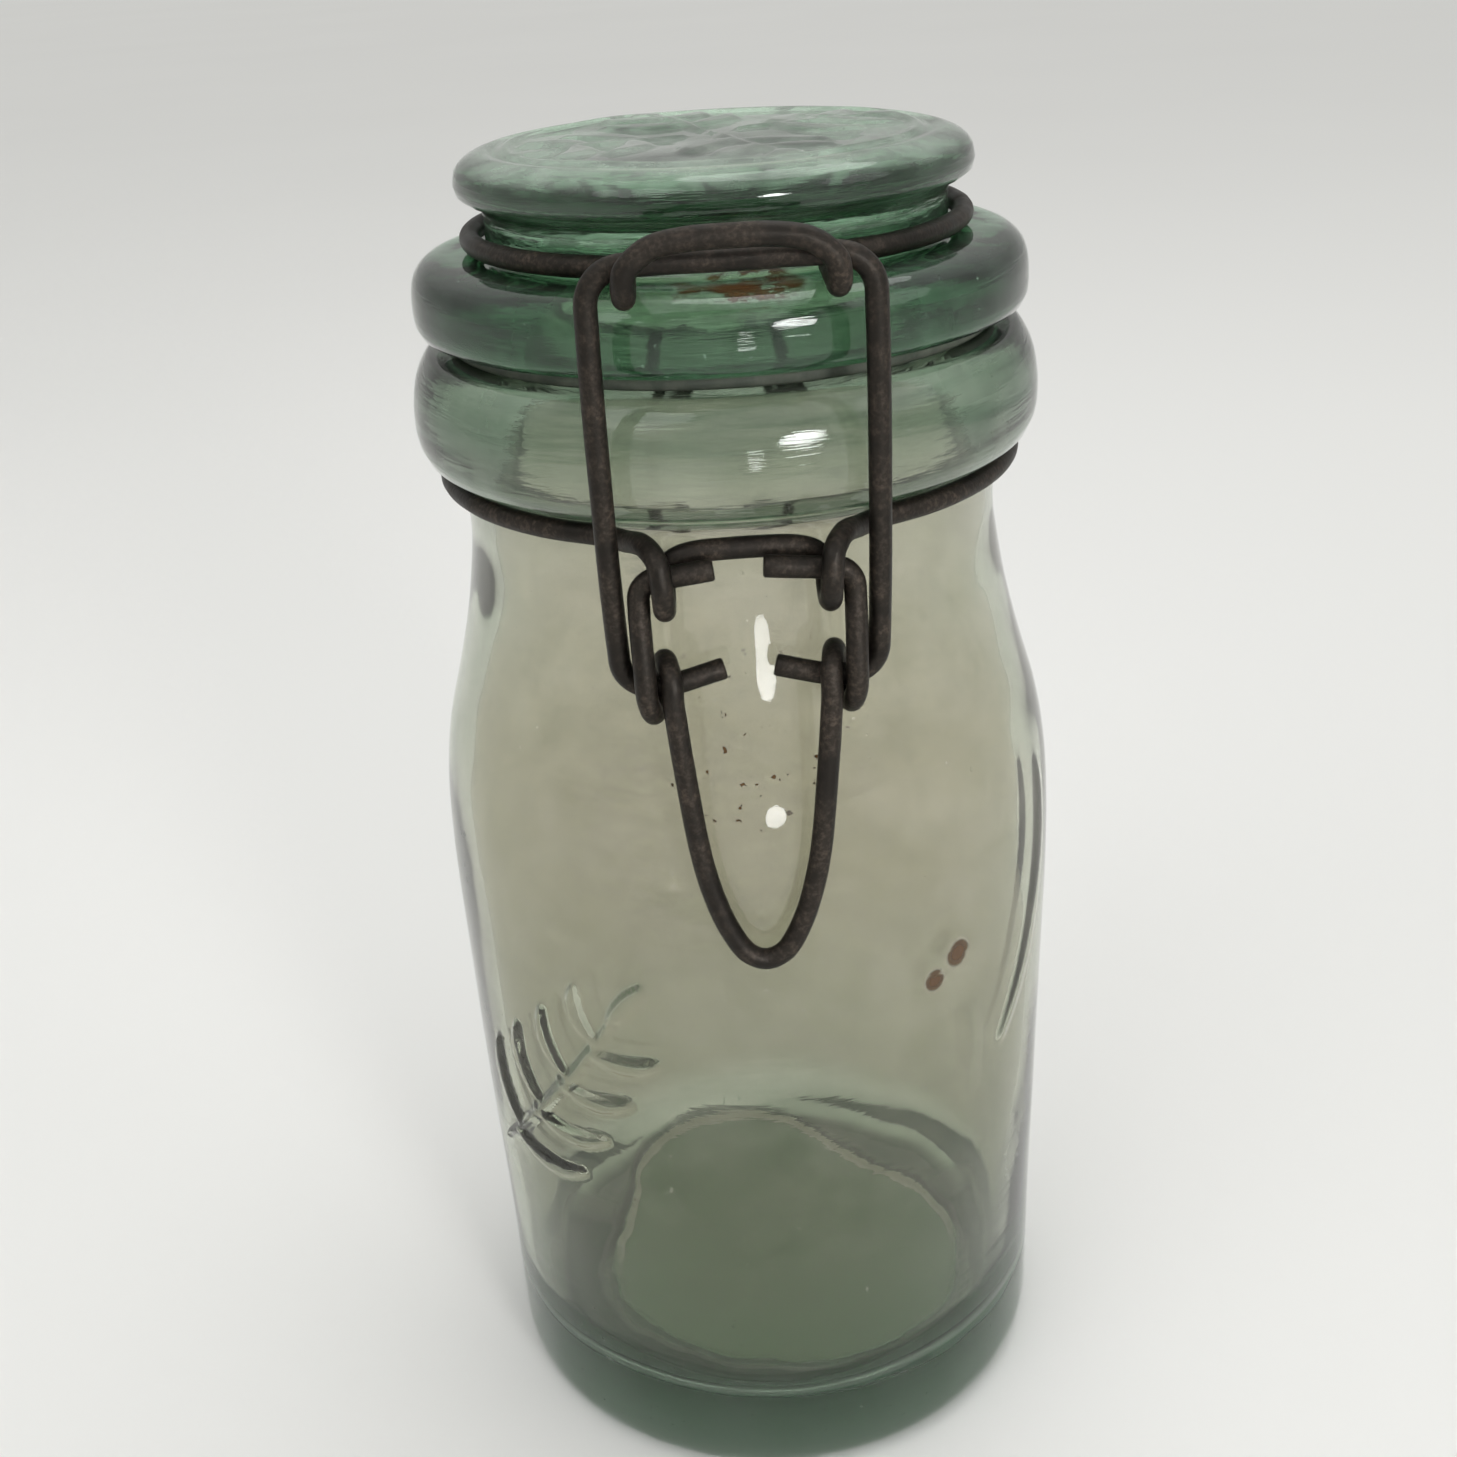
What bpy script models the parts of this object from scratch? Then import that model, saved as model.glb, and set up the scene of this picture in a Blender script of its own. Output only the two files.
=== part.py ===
"""Wire-bail canning jar: a pressed-glass jar and lid closed by four bent steel wires.

Frame: metres, +Z up, origin at the centre of the flat underside, latch at -Y, hinge at +Y.
The latch is symmetric about the X = 0 plane except for the lengths of the cut wire ends.
"""
from math import cos, radians, sin

import bpy
from mathutils import Vector

MM = 0.001

# ---- driving dimensions -------------------------------------------------------------------
WIRE_RADIUS = 1.55 * MM
LATHE_STEPS = 48
WIRE_STEP = radians(10.0)

# jar body
BASE_RADIUS = 48.9 * MM
BODY_RADIUS = 50.8 * MM
NECK_RADIUS = 41.5 * MM
COLLAR_RADIUS = 48.0 * MM
MOUTH_RADIUS = 35.6 * MM
HEEL_ROUNDING = 5.0 * MM
WALL = 3.8 * MM
FLOOR_THICKNESS = 12.0 * MM
BODY_WIDEST_Z = 97.0 * MM
NECK_Z = 163.0 * MM
COLLAR_UNDERSIDE_Z = 172.3 * MM
COLLAR_WIDEST_Z = 179.5 * MM
RIM_Z = 189.6 * MM

# lid and its rubber ring
FIT_GAP = 0.3 * MM
GASKET_THICKNESS = 2.0 * MM
GASKET_INNER_RADIUS = 33.3 * MM
GASKET_OUTER_RADIUS = 41.5 * MM
FLANGE_RADIUS = 46.1 * MM
FLANGE_BOTTOM_Z = RIM_Z + FIT_GAP + GASKET_THICKNESS + FIT_GAP
FLANGE_TOP_Z = 203.1 * MM
GROOVE_RADIUS = 34.5 * MM
DISC_RADIUS = 38.3 * MM
DISC_BOTTOM_Z = 210.6 * MM
LID_TOP_Z = 217.7 * MM
SPIGOT_RADIUS = 32.9 * MM
SPIGOT_DEPTH = 3.8 * MM
LID_HOLLOW_RADIUS = 28.5 * MM
LID_CEILING_Z = 211.0 * MM

# rings of wire
NECK_RING_RADIUS = 43.6 * MM
NECK_RING_Z = 170.2 * MM
LID_RING_RADIUS = 36.6 * MM
LID_RING_Z = 205.1 * MM

# rear hinge: the lid wire's pins turn inside two eyes of the neck wire
HINGE = Vector((0.0, 49.4 * MM, 168.5 * MM))
HINGE_EYE_RADIUS = 3.5 * MM
HINGE_EYE_X = (11.0 * MM, 7.5 * MM)
HINGE_LEG_X = 14.6 * MM
HINGE_PIN_END_X = 4.5 * MM

# front latch
PIVOT = Vector((0.0, -48.8 * MM, 167.0 * MM))
PIN = Vector((0.0, -47.1 * MM, 150.5 * MM))
BAR = Vector((0.0, -49.3 * MM, 208.25 * MM))
EAR_X = 11.2 * MM
EAR_RADIUS = 3.5 * MM
LEVER_X = 14.6 * MM
EYE_RADIUS = 3.7 * MM
EYE_INNER_X = 10.9 * MM
LINK_X = 18.2 * MM
NOSE_X = 13.3 * MM
V_BOTTOM = Vector((0.0, -53.4 * MM, 108.9 * MM))
STUB_END_X = {-1: 4.3 * MM, 1: 2.4 * MM}
PIN_END_X = 3.5 * MM


# ---- geometry helpers ---------------------------------------------------------------------
def point(x, y, z):
    """A point given in millimetres, returned in metres."""
    return Vector((x, y, z)) * MM


def smooth_path(points, pieces=3):
    """Catmull-Rom curve through the points, with the given number of pieces in each span."""
    padded = [2 * points[0] - points[1]] + list(points) + [2 * points[-1] - points[-2]]
    path = [points[0]]
    for before, start, end, after in zip(padded, padded[1:], padded[2:], padded[3:]):
        for piece in range(1, pieces + 1):
            t = piece / pieces
            path.append(0.5 * (2 * start + (end - before) * t
                               + (2 * before - 5 * start + 4 * end - after) * t * t
                               + (3 * start - before - 3 * end + after) * t ** 3))
    return path


def ring_arc(radius, z, from_angle, to_angle):
    """Points on a level circle. The angle is measured from the front (-Y) towards +X."""
    count = max(2, round(abs(to_angle - from_angle) / WIRE_STEP))
    path = []
    for index in range(count + 1):
        angle = from_angle + (to_angle - from_angle) * index / count
        path.append(Vector((radius * sin(angle), -radius * cos(angle), z)))
    return path


def side_arc(centre, radius, from_angle, to_angle, from_x, to_x, step=radians(30.0)):
    """Points of a turn about an axis along X. Angle 0 is -Y and the angle grows towards -Z."""
    count = max(2, round(abs(to_angle - from_angle) / step))
    path = []
    for index in range(count + 1):
        part = index / count
        angle = from_angle + (to_angle - from_angle) * part
        path.append(Vector((from_x + (to_x - from_x) * part,
                            centre.y - radius * cos(angle),
                            centre.z - radius * sin(angle))))
    return path


def mirrored(path):
    """The same path on the other side of the X = 0 plane, run the other way."""
    return [Vector((-p.x, p.y, p.z)) for p in reversed(path)]


def corner_arc(radius, from_angle, to_angle, centre_r, centre_z, pieces=3):
    """Points (r, z) of a rounded profile corner. Angle 0 points outwards and 90 degrees up."""
    points = []
    for index in range(pieces + 1):
        angle = radians(from_angle + (to_angle - from_angle) * index / pieces)
        points.append((centre_r + radius * cos(angle), centre_z + radius * sin(angle)))
    return points


# ---- Blender helpers ----------------------------------------------------------------------
def clear_scene():
    for obj in list(bpy.data.objects):
        bpy.data.objects.remove(obj, do_unlink=True)


def make_material(name, colour, roughness, metallic=0.0, transmission=0.0):
    material = bpy.data.materials.new(name)
    material.use_nodes = True
    shader = material.node_tree.nodes["Principled BSDF"]
    shader.inputs["Base Color"].default_value = (*colour, 1.0)
    shader.inputs["Roughness"].default_value = roughness
    shader.inputs["Metallic"].default_value = metallic
    shader.inputs["Transmission Weight"].default_value = transmission
    return material


def place(obj, collection, material, location, parent=None):
    """Put an object at a world location, under its parent."""
    collection.objects.link(obj)
    obj.data.materials.append(material)
    obj.location = location
    if parent is not None:
        obj.parent = parent
        obj.location = location - parent.location
    return obj


def make_turned(name, profile, collection, material, location, parent=None):
    """A solid of revolution about Z from (r, z) points that run down its outer side."""
    mesh = bpy.data.meshes.new(name)
    points = [(r - location.x, 0.0, z - location.z) for r, z in profile]
    edges = [(index, index + 1) for index in range(len(points) - 1)]
    if profile[0][0] > 0.0:
        edges.append((len(points) - 1, 0))
    mesh.from_pydata(points, edges, [])
    obj = bpy.data.objects.new(name, mesh)
    place(obj, collection, material, location, parent)
    screw = obj.modifiers.new("turn", "SCREW")
    screw.axis = "Z"
    screw.steps = LATHE_STEPS
    screw.render_steps = LATHE_STEPS
    screw.use_merge_vertices = True
    screw.merge_threshold = 0.00002
    screw.use_smooth_shade = True
    return obj


def make_wire(name, path, collection, material, location, parent=None):
    """A round wire with flat cut ends along a path of world points."""
    curve = bpy.data.curves.new(name, "CURVE")
    curve.dimensions = "3D"
    curve.bevel_depth = WIRE_RADIUS
    curve.bevel_resolution = 2
    curve.use_fill_caps = True
    spline = curve.splines.new("POLY")
    spline.points.add(len(path) - 1)
    for spline_point, world in zip(spline.points, path):
        spline_point.co = (*(world - location), 1.0)
    spline.use_smooth = True
    return place(bpy.data.objects.new(name, curve), collection, material, location, parent)


# ---- profiles -----------------------------------------------------------------------------
def jar_profile():
    """Inside from the floor up, over the rim, down the outside and in along the flat base."""
    inner_body = BODY_RADIUS - WALL
    inside = [
        (0.0, FLOOR_THICKNESS + 0.8 * MM),
        (20.0 * MM, FLOOR_THICKNESS + 0.5 * MM),
        (36.0 * MM, FLOOR_THICKNESS),
        (41.5 * MM, FLOOR_THICKNESS + 1.9 * MM),
        (44.4 * MM, FLOOR_THICKNESS + 6.2 * MM),
        (45.4 * MM, FLOOR_THICKNESS + 15.5 * MM),
        (inner_body - 0.4 * MM, 59.5 * MM),
        (inner_body, BODY_WIDEST_Z),
        (inner_body - 0.5 * MM, 116.0 * MM),
        (inner_body - 2.6 * MM, 127.5 * MM),
        (41.0 * MM, 138.5 * MM),
        (38.4 * MM, 149.0 * MM),
        (37.2 * MM, NECK_Z),
        (MOUTH_RADIUS + 0.6 * MM, 177.0 * MM),
        (MOUTH_RADIUS, RIM_Z - 3.0 * MM),
    ]
    rim_inner = corner_arc(1.4 * MM, 180.0, 90.0, MOUTH_RADIUS + 1.4 * MM, RIM_Z - 1.4 * MM, 2)
    rim_outer = corner_arc(2.0 * MM, 90.0, 40.0, 43.6 * MM, RIM_Z - 2.0 * MM, 2)
    collar = [
        (46.7 * MM, 186.4 * MM),
        (47.6 * MM, 183.4 * MM),
        (COLLAR_RADIUS, COLLAR_WIDEST_Z),
        (47.7 * MM, 176.2 * MM),
        (46.7 * MM, 174.0 * MM),
        (45.0 * MM, COLLAR_UNDERSIDE_Z + 0.4 * MM),
        (43.2 * MM, COLLAR_UNDERSIDE_Z),
        (NECK_RADIUS + 0.3 * MM, COLLAR_UNDERSIDE_Z - 1.6 * MM),
    ]
    outside = [
        (NECK_RADIUS, NECK_Z + 3.0 * MM),
        (NECK_RADIUS, NECK_Z - 2.5 * MM),
        (42.4 * MM, 154.0 * MM),
        (43.8 * MM, 146.5 * MM),
        (46.1 * MM, 137.5 * MM),
        (48.7 * MM, 128.2 * MM),
        (50.1 * MM, 119.5 * MM),
        (BODY_RADIUS - 0.1 * MM, 109.5 * MM),
        (BODY_RADIUS, BODY_WIDEST_Z),
        (BODY_RADIUS - 0.3 * MM, 81.0 * MM),
        (49.9 * MM, 55.5 * MM),
        (BASE_RADIUS + 0.3 * MM, 29.5 * MM),
    ]
    heel = corner_arc(HEEL_ROUNDING, 0.0, -90.0, BASE_RADIUS - HEEL_ROUNDING, HEEL_ROUNDING, 4)
    return inside + rim_inner + rim_outer + collar + outside + heel + [(0.0, 0.0)]


def lid_profile():
    """Hollow underside from the middle outwards, flange, wire groove and top disc, outer side
    run from the middle of the top down."""
    disc = [
        (0.0, LID_TOP_Z),
        (20.0 * MM, LID_TOP_Z - 0.1 * MM),
        (33.2 * MM, LID_TOP_Z - 0.5 * MM),
        (36.4 * MM, LID_TOP_Z - 1.5 * MM),
        (37.9 * MM, LID_TOP_Z - 3.0 * MM),
        (DISC_RADIUS, DISC_BOTTOM_Z + 2.4 * MM),
        (38.0 * MM, DISC_BOTTOM_Z + 1.0 * MM),
        (37.0 * MM, DISC_BOTTOM_Z + 0.2 * MM),
        (GROOVE_RADIUS + 0.8 * MM, DISC_BOTTOM_Z - 0.4 * MM),
        (GROOVE_RADIUS, DISC_BOTTOM_Z - 1.6 * MM),
    ]
    flange = [
        (GROOVE_RADIUS, FLANGE_TOP_Z + 0.6 * MM),
        (GROOVE_RADIUS + 0.6 * MM, FLANGE_TOP_Z),
        (41.0 * MM, FLANGE_TOP_Z - 0.1 * MM),
        (43.7 * MM, FLANGE_TOP_Z - 0.8 * MM),
        (45.4 * MM, FLANGE_TOP_Z - 2.4 * MM),
        (FLANGE_RADIUS, FLANGE_TOP_Z - 4.8 * MM),
        (FLANGE_RADIUS, FLANGE_BOTTOM_Z + 1.8 * MM),
        (FLANGE_RADIUS - 0.6 * MM, FLANGE_BOTTOM_Z + 0.5 * MM),
        (FLANGE_RADIUS - 1.6 * MM, FLANGE_BOTTOM_Z),
    ]
    spigot = [
        (SPIGOT_RADIUS, FLANGE_BOTTOM_Z),
        (SPIGOT_RADIUS, FLANGE_BOTTOM_Z - SPIGOT_DEPTH + 0.8 * MM),
        (SPIGOT_RADIUS - 0.9 * MM, FLANGE_BOTTOM_Z - SPIGOT_DEPTH),
        (LID_HOLLOW_RADIUS + 2.2 * MM, FLANGE_BOTTOM_Z - SPIGOT_DEPTH),
        (LID_HOLLOW_RADIUS + 1.3 * MM, FLANGE_BOTTOM_Z),
        (LID_HOLLOW_RADIUS, 205.0 * MM),
        (LID_HOLLOW_RADIUS - 2.0 * MM, LID_CEILING_Z - 1.8 * MM),
        (LID_HOLLOW_RADIUS - 6.0 * MM, LID_CEILING_Z),
        (0.0, LID_CEILING_Z),
    ]
    return disc + flange + spigot


def gasket_profile():
    top = FLANGE_BOTTOM_Z - FIT_GAP
    bottom = top - GASKET_THICKNESS
    edge = 0.4 * MM
    return [
        (GASKET_INNER_RADIUS, top),
        (GASKET_OUTER_RADIUS - edge, top),
        (GASKET_OUTER_RADIUS, top - edge),
        (GASKET_OUTER_RADIUS, bottom + edge),
        (GASKET_OUTER_RADIUS - edge, bottom),
        (GASKET_INNER_RADIUS, bottom),
    ]


# ---- wires: each half runs from the middle of the front to the rear or to its cut end ------
def neck_wire_half():
    """Crown, ear around the lever's stub, ring under the collar and rear hinge eye (+X side)."""
    ear = Vector((0.0, PIVOT.y, PIVOT.z - 1.0 * MM))
    crown_y = ear.y + EAR_RADIUS
    crown = smooth_path([
        Vector((0.0, crown_y, PIVOT.z + 2.3 * MM)),
        Vector((6.4 * MM, crown_y, PIVOT.z + 2.1 * MM)),
        Vector((9.8 * MM, crown_y, PIVOT.z + 1.0 * MM)),
        Vector((EAR_X - 0.2 * MM, crown_y, ear.z - 0.4 * MM)),
    ])
    loop = side_arc(ear, EAR_RADIUS, radians(165.0), radians(15.0), EAR_X - 0.2 * MM, EAR_X)
    ring = ring_arc(NECK_RING_RADIUS, NECK_RING_Z, radians(26.0), radians(160.0))
    shoulder = smooth_path([
        loop[-1],
        point(11.3, -52.3, 167.2),
        point(11.8, -51.2, 170.2),
        point(13.5, -47.3, 171.2),
        point(15.8, -43.2, 170.5),
        ring[0],
    ])
    eye = side_arc(HINGE, HINGE_EYE_RADIUS, radians(-30.0), radians(-380.0),
                   HINGE_EYE_X[0], HINGE_EYE_X[1])
    return crown + loop[1:-1] + shoulder + ring[1:] + eye


def lid_wire_half():
    """Nose crown, hooked nose leg, ring in the lid's groove, rear leg and hinge pin (+X side)."""
    nose_y = BAR.y - 4.1 * MM
    leg_z = BAR.z - 3.45 * MM
    nose = smooth_path([
        Vector((0.0, nose_y, BAR.z + 3.5 * MM)),
        Vector((5.0 * MM, nose_y, BAR.z + 3.4 * MM)),
        Vector((9.6 * MM, nose_y, BAR.z + 2.6 * MM)),
        Vector((12.6 * MM, nose_y, BAR.z + 0.4 * MM)),
        Vector((NOSE_X, nose_y + 0.4 * MM, BAR.z - 1.7 * MM)),
        Vector((NOSE_X, nose_y + 2.4 * MM, leg_z - 0.2 * MM)),
        Vector((NOSE_X, BAR.y + 4.0 * MM, leg_z)),
        point(13.4, -38.5, 204.9),
    ])
    ring = ring_arc(LID_RING_RADIUS, LID_RING_Z, radians(26.0), radians(152.0))
    leg_top = LID_RING_Z
    rear = smooth_path([
        ring[-1],
        Vector((HINGE_LEG_X + 0.4 * MM, 36.5 * MM, leg_top)),
        Vector((HINGE_LEG_X, 43.0 * MM, leg_top)),
        Vector((HINGE_LEG_X, 46.4 * MM, leg_top - 0.5 * MM)),
        Vector((HINGE_LEG_X, 48.6 * MM, leg_top - 2.2 * MM)),
        Vector((HINGE_LEG_X, HINGE.y, leg_top - 5.0 * MM)),
        Vector((HINGE_LEG_X, HINGE.y, HINGE.z + 10.0 * MM)),
        Vector((HINGE_LEG_X, HINGE.y, HINGE.z + 2.8 * MM)),
        Vector((HINGE_LEG_X - 0.9 * MM, HINGE.y, HINGE.z + 0.6 * MM)),
        Vector((HINGE_LEG_X - 3.0 * MM, HINGE.y, HINGE.z)),
        Vector((HINGE_PIN_END_X, HINGE.y, HINGE.z)),
    ])
    return nose + ring + rear[1:]


def link_half():
    """Top bar, leg, and the pin turned inwards through the lever's eye (+X side)."""
    bar_bend = 5.0 * MM
    pin_bend = 4.4 * MM
    leg_foot_x = LINK_X - 0.3 * MM
    path = [Vector((0.0, BAR.y, BAR.z)), Vector((LINK_X - bar_bend, BAR.y, BAR.z))]

    def on_leg(x, z):
        part = (BAR.z - z) / (BAR.z - PIN.z)
        return Vector((x, BAR.y + (PIN.y - BAR.y) * part, z))

    for angle in (30.0, 60.0, 90.0):
        turn = radians(angle)
        path.append(on_leg(LINK_X - bar_bend * (1.0 - sin(turn)),
                           BAR.z - bar_bend * (1.0 - cos(turn))))
    path.append(on_leg(LINK_X + 0.1 * MM, 175.0 * MM))
    for angle in (0.0, 25.0, 50.0, 75.0):
        turn = radians(angle)
        path.append(on_leg(leg_foot_x - pin_bend * (1.0 - cos(turn)),
                           PIN.z + pin_bend * (1.0 - sin(turn))))
    path.append(Vector((12.6 * MM, PIN.y, PIN.z)))
    path.append(Vector((EYE_INNER_X, PIN.y, PIN.z + 0.1 * MM)))
    path.append(Vector((PIN_END_X, PIN.y + 0.9 * MM, PIN.z + 1.7 * MM)))
    return path


def lever_half(side):
    """Stub, side bar, eye around the link's pin and V leg down to the finger end (+X side)."""
    stub_end = STUB_END_X[side]
    bend = 3.0 * MM
    eye_centre = Vector((0.0, PIN.y, PIN.z - 0.1 * MM))
    path = [
        Vector((stub_end, PIVOT.y, PIVOT.z + 0.7 * MM)),
        Vector((EAR_X - 1.0 * MM, PIVOT.y, PIVOT.z)),
        Vector((LEVER_X - bend, PIVOT.y, PIVOT.z)),
    ]
    for angle in (30.0, 60.0, 90.0):
        turn = radians(angle)
        path.append(Vector((LEVER_X - bend * (1.0 - sin(turn)), PIVOT.y,
                            PIVOT.z - bend * (1.0 - cos(turn)))))
    path.append(Vector((LEVER_X - 0.1 * MM, eye_centre.y - EYE_RADIUS + 0.2 * MM,
                        eye_centre.z + 3.5 * MM)))
    path += side_arc(eye_centre, EYE_RADIUS, 0.0, radians(330.0),
                     LEVER_X - 0.2 * MM, EYE_INNER_X)
    v_leg = smooth_path([
        Vector((EYE_INNER_X, eye_centre.y - EYE_RADIUS - 0.1 * MM, eye_centre.z - 1.0 * MM)),
        point(10.1, -51.4, 140.0),
        point(8.5, -52.3, 126.0),
        point(6.3, -52.9, 117.0),
        point(3.6, -53.3, 111.2),
        point(1.5, -53.4, 109.3),
        V_BOTTOM,
    ])
    return path + v_leg


def build():
    clear_scene()
    jar = bpy.data.collections.new("wire_bail_jar")
    bpy.context.scene.collection.children.link(jar)

    clear_glass = make_material("pale_green_glass", (0.62, 0.76, 0.66), 0.08, 0.0, 0.9)
    thick_glass = make_material("deep_green_glass", (0.30, 0.52, 0.38), 0.08, 0.0, 0.9)
    rubber = make_material("grey_rubber", (0.16, 0.15, 0.13), 0.75)
    steel = make_material("aged_steel_wire", (0.055, 0.045, 0.04), 0.5, 0.8)

    origin = Vector((0.0, 0.0, 0.0))
    make_turned("jar_body", jar_profile(), jar, clear_glass, origin)

    half = neck_wire_half()
    make_wire("neck_wire", mirrored(half) + half[1:], jar, steel, origin)

    half = lid_wire_half()
    lid_wire = make_wire("lid_wire", mirrored(half) + half[1:], jar, steel, HINGE)
    lid_centre = Vector((0.0, 0.0, LID_RING_Z))
    make_turned("glass_lid", lid_profile(), jar, thick_glass, lid_centre, lid_wire)
    make_turned("gasket", gasket_profile(), jar, rubber, lid_centre, lid_wire)

    right_to_left = lever_half(1) + mirrored(lever_half(-1))[1:]
    lever = make_wire("lever", right_to_left, jar, steel, PIVOT)
    half = link_half()
    make_wire("link", mirrored(half) + half[1:], jar, steel, PIN, lever)


if __name__ == "__main__":
    build()
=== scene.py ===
"""Looks of the wire-bail canning jar: fine glass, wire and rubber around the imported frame."""
from math import cos, pi, radians, sin

import bmesh
import bpy
import numpy as np
from mathutils import Matrix, Vector, noise


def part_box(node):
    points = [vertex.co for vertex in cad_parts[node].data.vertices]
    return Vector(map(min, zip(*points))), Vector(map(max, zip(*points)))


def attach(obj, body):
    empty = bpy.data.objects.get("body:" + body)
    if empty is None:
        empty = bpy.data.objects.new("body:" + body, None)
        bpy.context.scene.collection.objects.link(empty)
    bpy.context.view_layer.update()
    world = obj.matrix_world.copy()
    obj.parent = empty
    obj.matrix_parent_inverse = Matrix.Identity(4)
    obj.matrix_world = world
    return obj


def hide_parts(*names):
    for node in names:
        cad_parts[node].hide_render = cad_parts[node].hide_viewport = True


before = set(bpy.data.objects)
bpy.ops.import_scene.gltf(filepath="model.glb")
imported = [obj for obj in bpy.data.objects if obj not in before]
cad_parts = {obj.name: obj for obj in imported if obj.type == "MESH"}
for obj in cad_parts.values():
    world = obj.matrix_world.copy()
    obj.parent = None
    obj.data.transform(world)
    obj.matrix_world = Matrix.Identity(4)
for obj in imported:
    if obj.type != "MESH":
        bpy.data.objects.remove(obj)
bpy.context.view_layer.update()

MM = 0.001


def rgba(r, g, b):
    """A colour from linear red, green and blue."""
    return (r, g, b, 1.0)


# ---- driving values -----------------------------------------------------------------------
JAR_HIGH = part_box("jar_body")[1]
LID_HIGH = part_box("glass_lid")[1]
BODY_RADIUS = JAR_HIGH.x
ORNATE_RADIUS = 0.955 * BODY_RADIUS
RIM_Z = JAR_HIGH.z
FLANGE_Z = RIM_Z + 9.0 * MM
LID_TOP_Z = LID_HIGH.z

# how fine the meshes are: steps round the axis, rings along an outline, sides of a wire
GLASS_STEP = radians(2.0)
FINE_STEP = radians(0.75)
LID_STEP = radians(1.4)
RUBBER_STEP = radians(2.5)
ROW_SPACING = 1.8 * MM
FINE_ROW_SPACING = 0.65 * MM
LID_ROW_SPACING = 1.2 * MM
LID_TOP_RINGS = 52
FLOOR_LIP_RINGS = 13
WIRE_SIDES = 16
WIRE_PIECES = 4
FLAT_ANGLE = radians(0.5)
SHARP_ANGLE = radians(50.0)

# the embossed sprig on the jar's side: turns are measured from the +X axis, the front is -Y
FRONT = -pi / 2
SPRIG_TURN = FRONT + radians(-46.0)
SPRIG_HALF_ANGLE = radians(38.0)
SPRIG_Z = 75.5 * MM
SPRIG_REACH = 36.0 * MM
SPRIG_LEAN = radians(40.0)
SPRIG_LENGTH = 52.0 * MM
SPRIG_LEAF = 13.0 * MM
SPRIG_STEM_WIDTH = 0.9 * MM
SPRIG_LEAF_WIDTH = 1.5 * MM
SPRIG_LEAF_PAIRS = 4
SPRIG_SOFTNESS = 0.9 * MM
SPRIG_RELIEF = 0.8 * MM

# a broad raised flourish on the jar's right
FLOURISH_TURN = FRONT + radians(60.0)
FLOURISH_HALF_ANGLE = radians(17.0)
FLOURISH_Z = 100.0 * MM
FLOURISH_SOFTNESS = 3.4 * MM
FLOURISH_RELIEF = 0.5 * MM

# four small sprigs and a raised ring on the lid's top, whose edge drops a little
LID_SPRIG_LENGTH = 22.0 * MM
LID_SPRIG_LEAF = 10.0 * MM
LID_SPRIG_STEM_WIDTH = 1.2 * MM
LID_SPRIG_LEAF_WIDTH = 2.4 * MM
LID_SPRIG_LEAF_PAIRS = 2
LID_SPRIG_OUT = 15.5 * MM
LID_SPRIG_SOFTNESS = 2.0 * MM
LID_RING_RADIUS = 30.0 * MM
LID_RING_WIDTH = 0.9 * MM
LID_TOP_EDGE = 33.0 * MM
LID_TOP_DROP = 0.5 * MM
LID_TOP_DEPTH = 1.2 * MM
LID_RELIEF = 0.6 * MM
LID_RELIEF_SUNK = 0.7

# the hollow under the lid's top
HOLLOW_RADIUS = 29.5 * MM
HOLLOW_TOP_Z = LID_TOP_Z - 5.0 * MM

# how far the surfaces wave in and out, and up and down, and where the waves fade out
JAR_OUTER_WAVE = 0.12 * MM
JAR_INNER_WAVE = 0.45 * MM
JAR_FLOOR_WAVE = 0.2 * MM
LID_TOP_WAVE = 0.3 * MM
LID_SIDE_WAVE = 0.13 * MM
HOLLOW_WAVE = 0.5 * MM
HOLLOW_RISE = 0.3 * MM
RUBBER_WAVE = 0.08 * MM
JAR_AXIS_FADE = 12.0 * MM
JAR_RIM_FADE = 12.0 * MM
LID_AXIS_FADE = 10.0 * MM

# the jar's inside floor: its height, and the waves and the lip of its uneven edge
FLOOR_TOP_Z = 12.0 * MM
FILLET_TOP_Z = 28.0 * MM
FLOOR_EDGE_RADIUS = 35.0 * MM
FLOOR_EDGE_WAVES = ((2, 3.3 * MM, radians(-119.0)), (3, 2.9 * MM, radians(-50.0)),
                    (1, 0.9 * MM, radians(-34.0)), (4, 1.1 * MM, radians(86.0)))
FLOOR_EDGE_RAGGED = 0.8 * MM
FLOOR_LIP = 0.9 * MM
FLOOR_LIP_WIDTH = 0.5 * MM
FLOOR_LIP_INSIDE = 0.4 * MM
AWAY_FROM_EDGE = 99.0

# the underside: a contact ring inside the heel and a shallow recess
RECESS_RADIUS = 39.0 * MM
RECESS_SLOPE = 7.0 * MM
RECESS_DEPTH = 3.5 * MM
FOOT_GAP = 0.05 * MM

# the CAD's wires, which have few sides, and the drawn wire with its sheared ends
CAD_WIRE_SIDES = 8
CAD_WIRE_REACH = 1.6 * MM
WIRE_RADIUS = 1.55 * MM
WIRE_CHAMFER = 0.25 * MM
WIRE_END_SHARES = (0.55, 0.86)

# the camera's place and turn, in metres and degrees, and its lens in mm
CAMERA_DISTANCE = 0.2686
CAMERA_HEIGHT = 0.2488
CAMERA_AZIMUTH = -1.6
CAMERA_PITCH = -25.475
CAMERA_YAW = 1.027
CAMERA_ROLL = -3.454
CAMERA_LENS = 43.24
CAMERA_SENSOR = 36.0

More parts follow.
